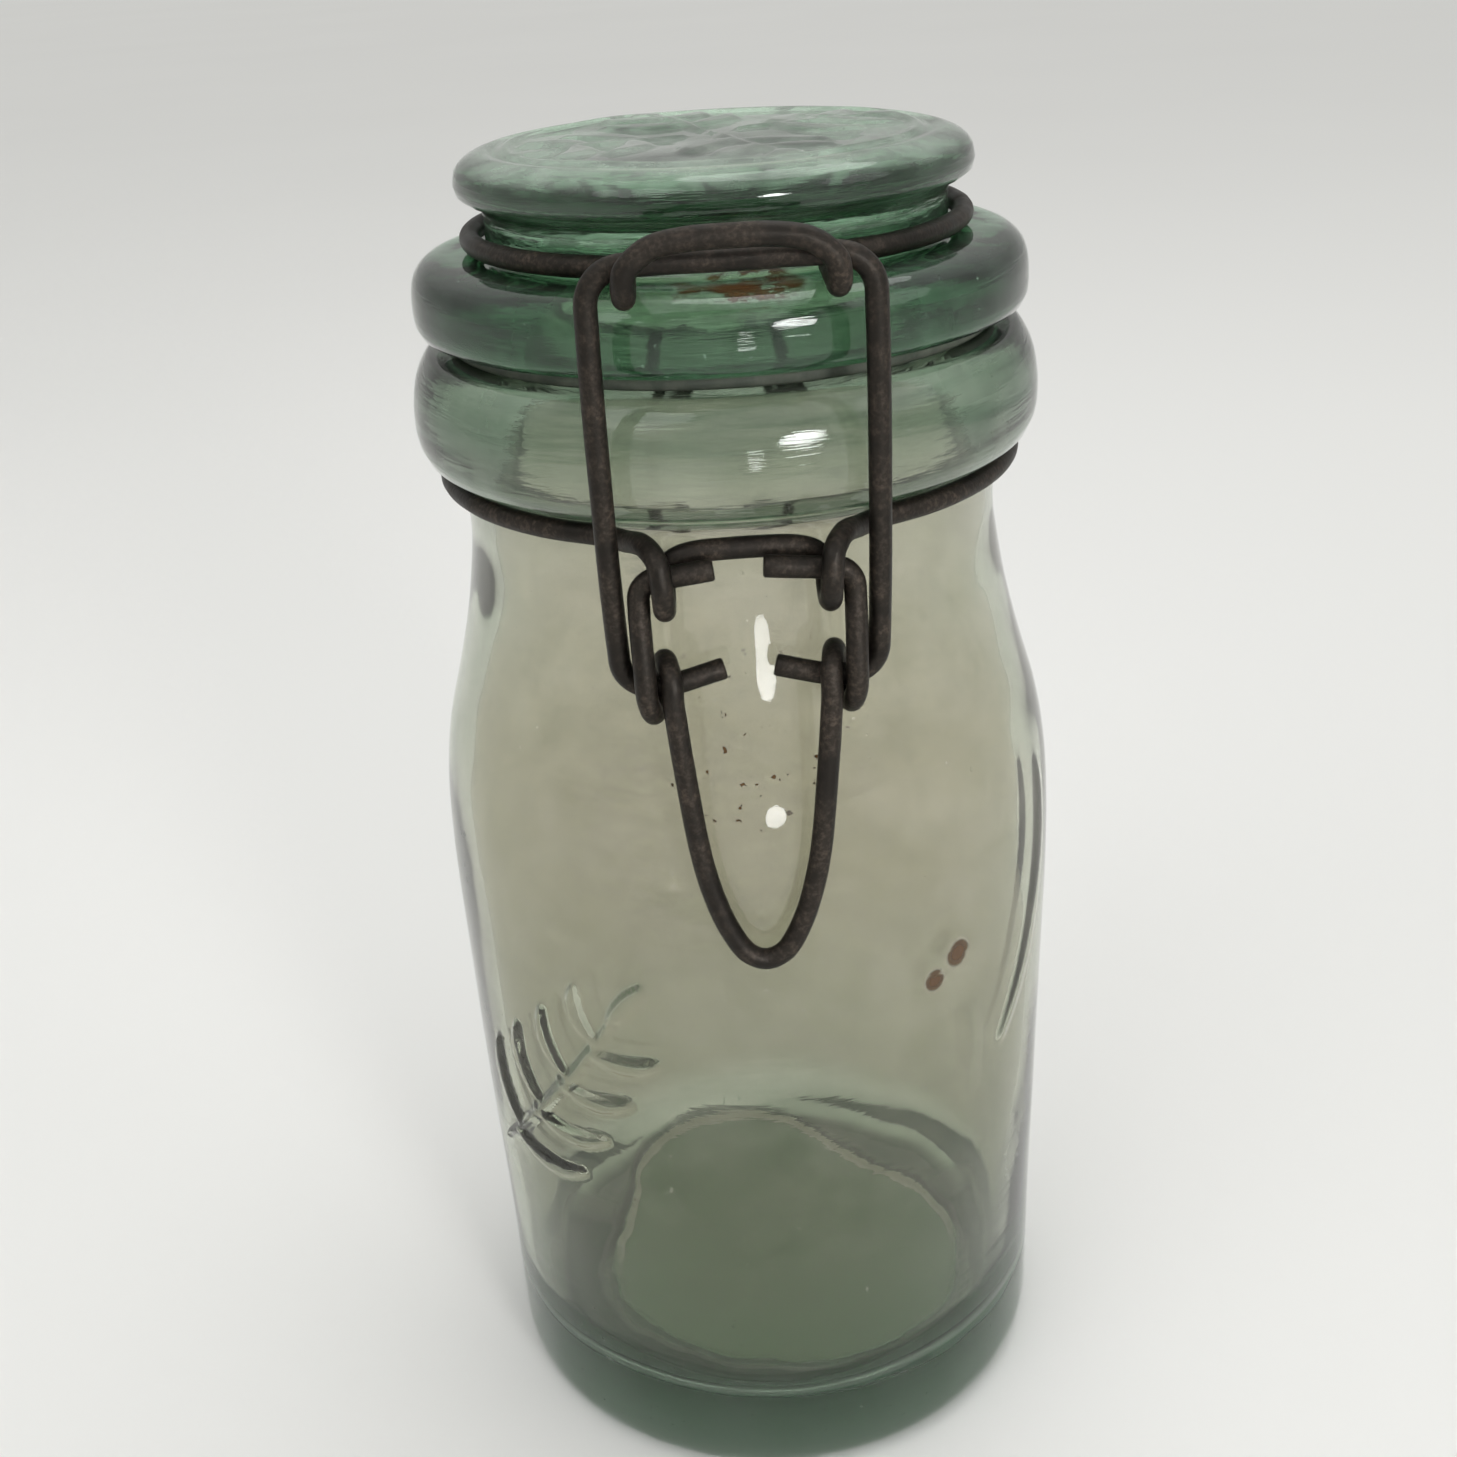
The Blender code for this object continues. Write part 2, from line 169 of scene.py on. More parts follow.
# ---- looks of the glass -------------------------------------------------------------------
# the glass's tint, which changes with height, as (height, colour) pairs from the foot up
JAR_TINTS = (
    (FLOOR_TOP_Z + 3.5 * MM, rgba(0.95, 1.0, 0.95)),
    (FLOOR_TOP_Z + 11.0 * MM, rgba(0.61, 0.61, 0.52)),
    (64.0 * MM, rgba(0.61, 0.58, 0.48)),
    (129.5 * MM, rgba(0.84, 0.78, 0.69)),
    (173.5 * MM, rgba(0.88, 0.83, 0.76)),
    (177.0 * MM, rgba(0.78, 0.77, 0.70)),
    (182.0 * MM, rgba(0.45, 0.49, 0.43)),
)
LID_TINTS = (
    (FLANGE_Z + 4.5 * MM, rgba(0.44, 0.66, 0.50)),
    (LID_TOP_Z - 8.0 * MM, rgba(0.80, 0.98, 0.83)),
)

# dust as (height, amount, colour) rows
JAR_DUST = (
    (30.0 * MM, 0.02, rgba(0.42, 0.40, 0.32)),
    (95.0 * MM, 0.12, rgba(0.42, 0.40, 0.32)),
)
LID_DUST = (
    (LID_TOP_Z - 3.0 * MM, 0.07, rgba(0.17, 0.21, 0.155)),
    (LID_TOP_Z - 0.6 * MM, 0.62, rgba(0.17, 0.205, 0.16)),
)

# rust stains as (place, radius, soft edge, strength) rows
JAR_STAINS = (
    ((-13.5 * MM, -43.0 * MM, 165.0 * MM), 2.0 * MM, 4.0 * MM, 0.8),
    ((2.5 * MM, -48.5 * MM, 137.0 * MM), 0.5 * MM, 1.6 * MM, 0.9),
    ((26.0 * MM, -43.8 * MM, 96.5 * MM), 0.8 * MM, 1.6 * MM, 1.0),
    ((30.0 * MM, -41.2 * MM, 99.5 * MM), 1.0 * MM, 2.0 * MM, 1.0),
    ((-12.0 * MM, -49.0 * MM, 125.0 * MM), 14.0 * MM, 18.0 * MM, 0.10),
)
LID_STAINS = (
    ((3.0 * MM, -39.0 * MM, 203.4 * MM), 4.5 * MM, 4.0 * MM, 1.0),
    ((-7.0 * MM, -39.5 * MM, 203.2 * MM), 2.5 * MM, 4.0 * MM, 0.7),
    ((6.0 * MM, -10.0 * MM, 217.4 * MM), 6.0 * MM, 22.0 * MM, 0.15),
)
FLECKS_PLACE = (0.0, -49.5 * MM, 138.0 * MM)
FLECKS_REACH = 15.0 * MM

# the heights between which the drawn cords grow to full strength
JAR_CORDS = (166.0 * MM, 176.0 * MM)
LID_CORDS = (0.0, 0.1 * MM)
CORD_STRENGTH = 0.75
CORD_STRETCH = (24.0, 24.0, 260.0)
GROOVE_STRETCH = (30.0, 30.0, 420.0)
GRAIN_STRETCH = (150.0, 150.0, 420.0)
RIPPLE_STRETCH = (1.0, 1.0, 0.45)

GLASS_IOR = 1.5
JAR_DENSITY = 50.0
LID_DENSITY = 82.0
DEPTH_COLOUR = rgba(0.38, 0.60, 0.44)
CORD_COLOUR = rgba(0.15, 0.24, 0.17)
# painted shade: the dark green band over the front of the floor's fillet
FILLET_SHADE_COLOUR = rgba(0.030, 0.120, 0.050)
# painted light: the pale green laid over the inside floor to brighten it
FLOOR_LIGHT_COLOUR = rgba(0.72, 0.98, 0.73)
# painted shade: the dark line along the floor's rear edge
DARK_LINE_COLOUR = rgba(0.12, 0.17, 0.12)
# painted highlight: the bright line just inside the floor's rear edge
GLINT_LINE_COLOUR = rgba(0.97, 1.0, 0.96)
RUST_COLOUR = rgba(0.075, 0.036, 0.012)


# ---- reading the frame --------------------------------------------------------------------
def welded(node):
    """A bmesh copy of a CAD node with its doubled vertices joined."""
    bm = bmesh.new()
    bm.from_mesh(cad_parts[node].data)
    bmesh.ops.remove_doubles(bm, verts=bm.verts, dist=0.002 * MM)
    bm.verts.index_update()
    return bm


def meridian(node):
    """The outline (r, z) of a turned CAD node, from its upper point on the axis to the lower.
    A ring with no point on the axis gives a closed outline."""
    bm = welded(node)
    near = 0.01 * MM
    flat = [v for v in bm.verts if abs(v.co.y) < near and v.co.x > -near]
    on_axis = sorted((v for v in flat if v.co.x < near), key=lambda v: -v.co.z)
    current = on_axis[0] if on_axis else max(flat, key=lambda v: (round(v.co.z, 5), v.co.x))
    members = set(flat)
    seen = []
    while current is not None:
        seen.append(current)
        members.discard(current)
        linked = [e.other_vert(current) for e in current.link_edges]
        following = [v for v in linked if v in members]
        current = min(following, key=lambda v: (v.co - seen[-1].co).length, default=None)
    outline = [(v.co.x, v.co.z) for v in seen]
    bm.free()
    return outline


def flat_patch(start):
    """The faces that lie in one plane with a face and join up with it."""
    patch = {start}
    queue = [start]
    while queue:
        for edge in queue.pop().edges:
            for other in edge.link_faces:
                if other not in patch and other.normal.angle(start.normal) < FLAT_ANGLE:
                    patch.add(other)
                    queue.append(other)
    return patch


def end_cap(bm):
    """The corners of a wire's first flat end."""
    seen = set()
    for face in bm.faces:
        if face in seen:
            continue
        patch = flat_patch(face)
        seen |= patch
        corners = {v for f in patch for v in f.verts}
        middle = sum((v.co for v in corners), Vector()) / len(corners)
        reach = max((v.co - middle).length for v in corners)
        if len(corners) == CAD_WIRE_SIDES and reach < CAD_WIRE_REACH:
            return corners
    return None


def centre_line(node):
    """The centre-line of a wire node, from one cut end to the other."""
    bm = welded(node)
    line = []
    done = set()
    ring = end_cap(bm)
    while ring:
        in_order = sorted(ring, key=lambda v: v.index)
        line.append(sum((v.co for v in in_order), Vector()) / len(ring))
        done |= ring
        ring = {e.other_vert(v) for v in ring for e in v.link_edges} - done
    bm.free()
    return line


# ---- mesh helpers -------------------------------------------------------------------------
def smooth_line(points, spacing):
    """Catmull-Rom points through a list of vectors. spacing(start, end) is their distance."""
    points = [Vector(p) for p in points]
    padded = [2 * points[0] - points[1]] + points + [2 * points[-1] - points[-2]]
    line = [points[0]]
    for before, start, end, after in zip(padded, padded[1:], padded[2:], padded[3:]):
        span = (end - start).length
        a = (end - before) * span / ((end - start).length + (start - before).length)
        b = (after - start) * span / ((end - start).length + (after - end).length)
        pieces = max(1, round(span / spacing(start, end)))
        for piece in range(1, pieces + 1):
            t = piece / pieces
            line.append(start * (2 * t ** 3 - 3 * t * t + 1) + a * (t ** 3 - 2 * t * t + t)
                        + end * (3 * t * t - 2 * t ** 3) + b * (t ** 3 - t * t))
    return line


def smooth_step(value, low, high):
    """0 below low, 1 above high, and a smooth rise between them."""
    t = np.clip((value - low) / (high - low), 0.0, 1.0)
    return t * t * (3 - 2 * t)


def make_object(name, vertices, faces, smooth=True):
    """A mesh object in the scene, shaded smooth except at sharp edges."""
    mesh = bpy.data.meshes.new(name)
    mesh.from_pydata([tuple(v) for v in vertices], [], faces)
    mesh.update()
    if smooth:
        mesh.shade_smooth()
        mesh.set_sharp_from_angle(angle=SHARP_ANGLE)
    obj = bpy.data.objects.new(name, mesh)
    bpy.context.scene.collection.objects.link(obj)
    return obj


def ring_faces(upper, lower):
    """Faces between two rings of vertex numbers. Doubled corners are left out."""
    faces = []
    for i in range(len(upper)):
        j = (i + 1) % len(upper)
        corners = [upper[i], lower[i], lower[j], upper[j]]
        faces.append([c for n, c in enumerate(corners) if c != corners[n - 1]])
    return faces


def lathe(name, outline, angles, shift, closed=False, mark=None):
    """A turned solid. shift(angles, r, z, index) gives how far a ring moves in r and in z,
    and mark(r, z, index) the number stored on its vertices as the attribute "edge"."""
    vertices, rows, marks = [], [], []
    for index, (r, z) in enumerate(outline):
        ring_mark = mark(r, z, index) if mark else AWAY_FROM_EDGE
        if r < 0.001 * MM:
            rows.append([len(vertices)] * len(angles))
            vertices.append((0.0, 0.0, z))
            marks.append(ring_mark)
            continue
        moves = shift(angles, r, z, index)
        radius, height = r + moves[0], z + moves[1]
        rows.append(list(range(len(vertices), len(vertices) + len(angles))))
        vertices += list(zip(radius * np.cos(angles), radius * np.sin(angles), height))
        marks += [ring_mark] * len(angles)
    pairs = list(zip(rows, rows[1:]))
    if closed:
        pairs.append((rows[-1], rows[0]))
    faces = [face for upper, lower in pairs for face in ring_faces(upper, lower)]
    obj = make_object(name, vertices, faces)
    attribute = obj.data.attributes.new("edge", "FLOAT", "POINT")
    attribute.data.foreach_set("value", marks)
    return obj


def even_angles(step, fine_sectors=()):
    """Angles once round, with closer spacing in the given (centre, half width) sectors."""
    angles = []
    angle = 0.0
    while angle < 2 * pi - 0.3 * step:
        angles.append(angle)
        fine = any(abs((angle + step / 2 - centre + pi) % (2 * pi) - pi) < half
                   for centre, half in fine_sectors)
        angle += FINE_STEP if fine else step
    return np.array(angles)


def ring_points(angles, r, z):
    """The x, y and z of the points of one ring."""
    return r * np.cos(angles), r * np.sin(angles), np.full_like(angles, z)


def wavy(x, y, z, scale, seed):
    """Smooth noise between about -1 and 1 at each point."""
    return np.array([noise.noise(Vector((a * scale + seed, b * scale, c * scale)))
                     for a, b, c in zip(x, y, z)]) * 1.6


def refined(outline, spacing):
    """The outline with more points, none of them below the base or off the axis."""
    line = smooth_line([Vector((r, z, 0.0)) for r, z in outline], spacing)
    return [(max(p.x, 0.0), max(p.y, 0.0)) for p in line]


# ---- relief ornament ----------------------------------------------------------------------
def stroke(start, middle, end, width, count=24):
    """A tapered stroke along a quadratic curve, as rows of (u, v, half width)."""
    t = np.linspace(0.0, 1.0, count)[:, None]
    line = ((1 - t) ** 2 * np.array(start) + 2 * t * (1 - t) * np.array(middle)
            + t ** 2 * np.array(end))
    taper = np.sin(np.pi * (0.08 + 0.84 * t)) ** 0.7
    return np.hstack([line, width * taper])


def sprig_strokes(length, leaf, pairs, stem_width, leaf_width):
    """A leafy sprig along +v, centred on the origin, in metres."""
    half = length / 2
    strokes = [stroke((0, -half), (0.08 * length, 0), (0, half), stem_width, 60)]
    for number in range(pairs):
        v = -half + length * (number + 0.8) / (pairs + 0.6)
        reach = leaf * (1.0 - 0.45 * number / pairs)
        for side in (-1, 1):
            root = (0.02 * length, v - 0.1 * leaf * side)
            tip = (root[0] + side * reach, v + 0.75 * reach)
            bow = (root[0] + side * 0.75 * reach, v + 0.1 * reach)
            strokes.append(stroke(root, bow, tip, leaf_width))
    strokes.append(stroke((0, half * 0.92), (0, half * 1.1), (0, half * 1.28), leaf_width))
    return strokes


def flourish_strokes():
    """A broad curved sweep and a small hook beside it, in metres."""
    sweep = stroke((5.3 * MM, 20.0 * MM), (5.6 * MM, -5.0 * MM), (-9.0 * MM, -22.0 * MM),
                   2.3 * MM, 40)
    hook = stroke((-19.5 * MM, -12.0 * MM), (-16.6 * MM, -15.0 * MM), (-17.7 * MM, -28.0 * MM),
                  1.1 * MM)
    return [sweep, hook]


def turned(strokes, angle, out=0.0):
    """The strokes moved out along +v and then turned anticlockwise about the origin."""
    moved = []
    for line in strokes:
        u = line[:, 0]
        v = line[:, 1] + out
        moved.append(np.column_stack([u * cos(angle) - v * sin(angle),
                                      u * sin(angle) + v * cos(angle), line[:, 2]]))
    return moved


def relief_height(u, v, strokes, softness):
    """0 to 1: how far each point (u, v) stands up, from the nearest stroke's rounded section."""
    height = np.zeros_like(u)
    margin = 4.0 * MM
    for line in strokes:
        low, high = line[:, :2].min(0) - margin, line[:, :2].max(0) + margin
        near = (u > low[0]) & (u < high[0]) & (v > low[1]) & (v < high[1])
        if not near.any():
            continue
        du = u[near][:, None] - line[:, 0]
        dv = v[near][:, None] - line[:, 1]
        inside = (line[:, 2] - np.sqrt(du * du + dv * dv)).max(1)
        up = np.clip(inside / softness + 0.5, 0.0, 1.0)
        height[near] = np.maximum(height[near], up * up * (3 - 2 * up))
    return height


# ---- materials ----------------------------------------------------------------------------
class Nodes:
    """Short calls for building one material's node tree."""

    def __init__(self, name):
        self.material = bpy.data.materials.new(name)
        self.material.use_nodes = True
        self.tree = self.material.node_tree
        self.shader = self.tree.nodes["Principled BSDF"]
        self.output = self.tree.nodes["Material Output"]
        self.place = self.add("ShaderNodeTexCoord").outputs["Object"]

    def add(self, kind, **values):
        node = self.tree.nodes.new(kind)
        for key, value in values.items():
            setattr(node, key, value)
        return node

    def link(self, source, target):
        self.tree.links.new(source, target)

    def put(self, socket, value):
        if isinstance(value, bpy.types.NodeSocket):
            self.link(value, socket)
        else:
            socket.default_value = value

    def noise(self, scale, detail=3.0, roughness=0.5, stretch=None, distortion=0.0):
        node = self.add("ShaderNodeTexNoise")
        node.inputs["Scale"].default_value = scale
        node.inputs["Detail"].default_value = detail
        node.inputs["Roughness"].default_value = roughness
        node.inputs["Distortion"].default_value = distortion
        source = self.place
        if stretch is not None:
            mapping = self.add("ShaderNodeMapping")
            mapping.inputs["Scale"].default_value = stretch
            self.link(self.place, mapping.inputs["Vector"])
            source = mapping.outputs["Vector"]
        self.link(source, node.inputs["Vector"])
        return node.outputs["Fac"]

    def remap(self, value, low, high, to_low=0.0, to_high=1.0):
        node = self.add("ShaderNodeMapRange", clamp=True)
        self.link(value, node.inputs["Value"])
        node.inputs["From Min"].default_value = low
        node.inputs["From Max"].default_value = high
        node.inputs["To Min"].default_value = to_low
        node.inputs["To Max"].default_value = to_high
        return node.outputs["Result"]

    def math(self, operation, a, b=0.0):
        node = self.add("ShaderNodeMath", operation=operation)
        self.put(node.inputs[0], a)
        self.put(node.inputs[1], b)
        return node.outputs[0]

    def times(self, a, b):
        return self.math("MULTIPLY", a, b)

    def larger(self, a, b):
        return self.math("MAXIMUM", a, b)

    def mix(self, factor, a, b):
        node = self.add("ShaderNodeMix", data_type="RGBA")
        self.put(node.inputs["Factor"], factor)
        self.put(node.inputs[6], a)
        self.put(node.inputs[7], b)
        return node.outputs[2]

    def near_point(self, point, radius, soft):
        """1 within radius of a place, falling to 0 over the soft distance."""
        node = self.add("ShaderNodeVectorMath", operation="DISTANCE")
        self.link(self.place, node.inputs[0])
        node.inputs[1].default_value = point
        return self.remap(node.outputs["Value"], radius, radius + soft, 1.0, 0.0)

    def bump(self, height, strength, distance):
        node = self.add("ShaderNodeBump")
        node.inputs["Strength"].default_value = strength
        node.inputs["Distance"].default_value = distance
        self.link(height, node.inputs["Height"])
        return node.outputs["Normal"]


def height_tint(m, height, tints):
    """The glass's tint, blended from one height's colour to the next up the piece."""
    tint = tints[0][1]
    for (low, _), (high, colour) in zip(tints, tints[1:]):
        tint = m.mix(m.remap(height, low, high), tint, colour)
    return tint


def with_cords(m, tint, corded):
    """The tint with darker, nearly level cords from the melt."""
    cords = m.noise(1.0, detail=5.0, roughness=0.6, stretch=CORD_STRETCH, distortion=0.8)
    share = m.times(m.times(m.remap(cords, 0.50, 0.64), corded), CORD_STRENGTH)
    return m.mix(share, tint, CORD_COLOUR)


def dust_film(m, height, dust):
    """How much patchy dust covers the glass, and its colour."""
    patches = m.remap(m.noise(90.0, detail=6.0, roughness=0.65), 0.36, 0.70, 0.2, 1.0)
    _, amount, dirt = dust[0]
    for (low, _, _), (high, more, colour) in zip(dust, dust[1:]):
        step = m.remap(height, low, high)
        rest = m.times(m.math("SUBTRACT", 1.0, step), amount)
        amount = m.math("ADD", m.times(step, more), rest)
        dirt = m.mix(step, dirt, colour)
    return m.times(patches, amount), dirt


def rust_cover(m, stains, flecked):
    """How much rust covers the glass: streaky stains and, on the jar, a spray of flecks."""
    cover = None
    for point, radius, soft, strength in stains:
        spot = m.times(m.near_point(point, radius, soft), strength)
        cover = spot if cover is None else m.larger(cover, spot)
    grain = m.noise(1.0, detail=5.0, roughness=0.65, stretch=GRAIN_STRETCH)
    cover = m.times(cover, m.remap(grain, 0.34, 0.54))
    if flecked:
        near_flecks = m.near_point(FLECKS_PLACE, 0.4 * FLECKS_REACH, FLECKS_REACH)
        specks = m.remap(m.noise(560.0, detail=2.0), 0.685, 0.725)
        cover = m.larger(cover, m.times(specks, near_flecks))
    return cover


def band(m, value, start, full, fading, gone):
    """1 between two values, rising from 0 before them and falling to 0 after them."""
    return m.times(m.remap(value, start, full), m.remap(value, fading, gone, 1.0, 0.0))


def floor_layers(m, depth):
    """(cover, opacity, colour) of the painted shade and painted light round the inside floor:
    painted shade on the fillet and in a dark line, painted light on the floor, and a painted
    highlight line.
    They lie by the stored distance in mm from its edge, the lines only at the rear and the
    fillet only in front."""
    edge = m.add("ShaderNodeAttribute", attribute_name="edge").outputs["Fac"]
    rear = m.remap(depth, -14.0 * MM, -2.0 * MM)
    front = m.remap(depth, 4.0 * MM, 16.0 * MM, 1.0, 0.0)
    # painted shade: a dark band over the front of the fillet, where the thick corner glass looks
    # dark
    fillet = m.times(band(m, edge, 0.8, 2.5, 7.5, 9.5), front)
    # painted light: a pale layer over the whole inside floor
    floor_light = m.remap(edge, -0.2, 0.1, 1.0, 0.0)
    # painted shade: a thin dark line just outside the floor's rear edge
    dark_line = m.times(band(m, edge, -0.2, 0.2, 1.2, 2.8), rear)
    # painted highlight: a thin bright line just inside the floor's rear edge
    glint_line = m.times(band(m, edge, -2.1, -1.6, -0.5, -0.1), rear)
    return (
        (fillet, 0.9, FILLET_SHADE_COLOUR),
        (floor_light, 0.5, FLOOR_LIGHT_COLOUR),
        (dark_line, 0.4, DARK_LINE_COLOUR),
        (glint_line, 1.0, GLINT_LINE_COLOUR),
    )


def glass_relief(m, corded):
    """A normal with the slow ripple of pressed glass and fine level grooves."""
    ripple = m.noise(38.0, detail=2.0, stretch=RIPPLE_STRETCH)
    grooves = m.noise(1.0, detail=4.0, roughness=0.6, stretch=GROOVE_STRETCH)
    relief = m.math("ADD", m.times(ripple, 0.7), m.times(m.times(grooves, corded), 0.30))
    return m.bump(relief, 0.55, 1.2 * MM)


def add_depth_colour(m, density):
    """Green that deepens with the thickness of the glass."""
    depth = m.add("ShaderNodeVolumeAbsorption")
    depth.inputs["Color"].default_value = DEPTH_COLOUR
    depth.inputs["Density"].default_value = density
    m.link(depth.outputs["Volume"], m.output.inputs["Volume"])


def glass_material(name, tints, density, stains, dust, cords, flecked):
    """Old green pressed glass: deeper in colour where it is thicker, with a dusty film, painted
    shade, painted light and a painted highlight round the inside floor, and rust stains. Heights
    and depths are along the piece's Z and Y."""
    m = Nodes(name)
    split = m.add("ShaderNodeSeparateXYZ")
    m.link(m.place, split.inputs[0])
    height = split.outputs["Z"]
    corded = m.remap(height, *cords, 0.06, 1.0)
    tint = with_cords(m, height_tint(m, height, tints), corded)
    film, dirt = dust_film(m, height, dust)
    rust = rust_cover(m, stains, flecked)
    specks = m.remap(m.noise(900.0, detail=2.0), 0.70, 0.78, 0.0, 0.3)

    colour = m.mix(film, tint, dirt)
    cover = m.larger(m.larger(film, specks), rust)
    # lay the painted shade, painted light and painted highlight round the inside floor over the
    # glass
    for layer, opacity, layer_colour in floor_layers(m, split.outputs["Y"]):
        colour = m.mix(layer, colour, layer_colour)
        cover = m.larger(cover, m.times(layer, opacity))
    rusty = m.larger(rust, m.remap(rust, 0.16, 0.45))
    m.link(m.mix(rusty, colour, RUST_COLOUR), m.shader.inputs["Base Color"])
    m.link(m.remap(cover, 0.0, 1.0, 1.0, 0.0), m.shader.inputs["Transmission Weight"])
    m.link(m.remap(m.noise(70.0, detail=4.0), 0.40, 0.75, 0.0, 0.035),
           m.shader.inputs["Roughness"])
    m.shader.inputs["IOR"].default_value = GLASS_IOR
    m.link(glass_relief(m, corded), m.shader.inputs["Normal"])
    add_depth_colour(m, density)
    return m.material


def wire_material():
    """Dark oxidised steel with a brown bloom of rust and duller pits."""
    m = Nodes("oxidised_steel_wire")
    broad = m.remap(m.noise(160.0, detail=4.0, roughness=0.6), 0.38, 0.68)
    fine = m.remap(m.noise(1400.0, detail=4.0, roughness=0.6), 0.45, 0.70)
    rust = m.times(broad, fine)
    colour = m.mix(broad, rgba(0.019, 0.016, 0.013), rgba(0.034, 0.028, 0.022))
    colour = m.mix(rust, colour, rgba(0.062, 0.042, 0.028))
    m.link(colour, m.shader.inputs["Base Color"])
    m.link(m.remap(broad, 0.0, 1.0, 0.42, 0.62), m.shader.inputs["Roughness"])
    m.link(m.remap(rust, 0.0, 1.0, 0.75, 0.15), m.shader.inputs["Metallic"])
    pits = m.noise(2200.0, detail=4.0, roughness=0.6)
    m.link(m.bump(pits, 0.5, 0.12 * MM), m.shader.inputs["Normal"])
    return m.material


def rubber_and_gap_shade_material():
    """Aged grey-brown rubber with a dusty bloom, coloured dark so that it also paints the shade
    in the gap under the lid's flange.
    """
    m = Nodes("aged_rubber_and_gap_shade")
    bloom = m.remap(m.noise(300.0, detail=4.0, roughness=0.6), 0.4, 0.7)
    # partly painted shade: the rubber's dark colour also stands for the shade in the gap under
    # the lid
    m.link(m.mix(bloom, rgba(0.055, 0.065, 0.050), rgba(0.105, 0.115, 0.090)),
           m.shader.inputs["Base Color"])
    m.link(m.remap(bloom, 0.0, 1.0, 0.6, 0.85), m.shader.inputs["Roughness"])
    m.link(m.bump(m.noise(1500.0), 0.4, 0.15 * MM), m.shader.inputs["Normal"])
    return m.material


def floor_material():
    """Plain pale floor with faint broad mottling and hardly any sheen."""
    m = Nodes("pale_floor")
    m.link(m.mix(m.noise(2.0), rgba(0.78, 0.78, 0.765), rgba(0.81, 0.81, 0.795)),
           m.shader.inputs["Base Color"])
    m.shader.inputs["Roughness"].default_value = 0.95
    m.shader.inputs["Specular IOR Level"].default_value = 0.1
    return m.material


# ---- the jar ------------------------------------------------------------------------------
def rim_index(outline):
    """Which point of the jar's outline is its rim. The inside comes before it."""
    return max(range(len(outline)), key=lambda i: outline[i][1])


def with_floor_edge(outline):
    """The jar's outline with closely spaced rings at the lip round its inside floor."""
    rim = rim_index(outline)
    low = FLOOR_EDGE_RADIUS - 1.2 * MM
    high = FLOOR_EDGE_RADIUS + 1.3 * MM
    before = [p for p in outline[:rim] if p[0] <= low and p[1] < FILLET_TOP_Z]
    after = [p for p in outline[len(before):rim] if p[0] >= high or p[1] > FILLET_TOP_Z]
    lip = []
    for number in range(FLOOR_LIP_RINGS + 1):
        part = number / FLOOR_LIP_RINGS
        lip.append((low + (high - low) * part,
                    before[-1][1] + (after[0][1] - before[-1][1]) * part))
    return before + lip + after + outline[rim:]


def jar_spacing(start, end):
    """The distance between the jar's rings, closer on the outside beside the ornaments."""
    outside = min(start.x, end.x) > ORNATE_RADIUS
    ornate = abs((start.y + end.y) / 2 - SPRIG_Z) < SPRIG_REACH
    return FINE_ROW_SPACING if outside and ornate else ROW_SPACING


def jar_ornaments():
    """The raised ornaments as (turn, height, strokes, softness, relief) rows."""
    sprig = sprig_strokes(SPRIG_LENGTH, SPRIG_LEAF, SPRIG_LEAF_PAIRS, SPRIG_STEM_WIDTH,
                          SPRIG_LEAF_WIDTH)
    return (
        (SPRIG_TURN, SPRIG_Z, turned(sprig, -SPRIG_LEAN), SPRIG_SOFTNESS, SPRIG_RELIEF),
        (FLOURISH_TURN, FLOURISH_Z, flourish_strokes(), FLOURISH_SOFTNESS, FLOURISH_RELIEF),
    )


def outer_shift(angles, r, z, ornaments):
    """The outside of the jar: faint waves, the ornaments, and the recess underneath."""
    x, y, level = ring_points(angles, r, z)
    move = JAR_OUTER_WAVE * wavy(x, y, level * 0.5, 45.0, 3.0)
    if r > ORNATE_RADIUS:
        for turn, centre_z, strokes, softness, relief in ornaments:
            u = ((angles - turn + pi) % (2 * pi) - pi) * r
            move = move + relief * relief_height(u, level - centre_z, strokes, softness)
    rise = 0.0
    if z < FOOT_GAP:
        slope = smooth_step(r, RECESS_RADIUS - RECESS_SLOPE, RECESS_RADIUS)
        rise = FOOT_GAP + RECESS_DEPTH * (1.0 - slope)
    return move * min(1.0, r / JAR_AXIS_FADE), np.full_like(angles, rise)


def floor_edge_shift(angles, r, z):
    """The uneven edge of the inside floor: how far it wanders in r, and the rise of its lip."""
    x, y, level = ring_points(angles, r, z)
    waves = sum(size * np.cos(count * angles - phase) for count, size, phase in FLOOR_EDGE_WAVES)
    ragged = FLOOR_EDGE_RAGGED * wavy(x, y, level, 150.0, 41.0)
    near_edge = (smooth_step(r, FLOOR_EDGE_RADIUS - 19.0 * MM, FLOOR_EDGE_RADIUS - 2.0 * MM)
                 - smooth_step(r, FLOOR_EDGE_RADIUS + 2.0 * MM, FLOOR_EDGE_RADIUS + 9.0 * MM))
    lip = np.exp(-((r - FLOOR_EDGE_RADIUS + FLOOR_LIP_INSIDE) / FLOOR_LIP_WIDTH) ** 2)
    return (waves + ragged) * near_edge, FLOOR_LIP * lip


def inner_shift(angles, r, z):
    """The inside of the jar: stronger waves, and the uneven edge of the floor."""
    x, y, level = ring_points(angles, r, z)
    below_rim = min(1.0, max(0.0, (RIM_Z - z) / JAR_RIM_FADE))
    off_axis = min(1.0, r / JAR_AXIS_FADE)
    move = JAR_INNER_WAVE * wavy(x, y, level * 0.6, 34.0, 11.0) * below_rim * off_axis
    rise = JAR_FLOOR_WAVE * wavy(x, y, level, 50.0, 5.0) * below_rim * off_axis
    if z < FILLET_TOP_Z:
        wander, lip = floor_edge_shift(angles, r, z)
        move = move + wander
        rise = rise + lip
    return move, rise


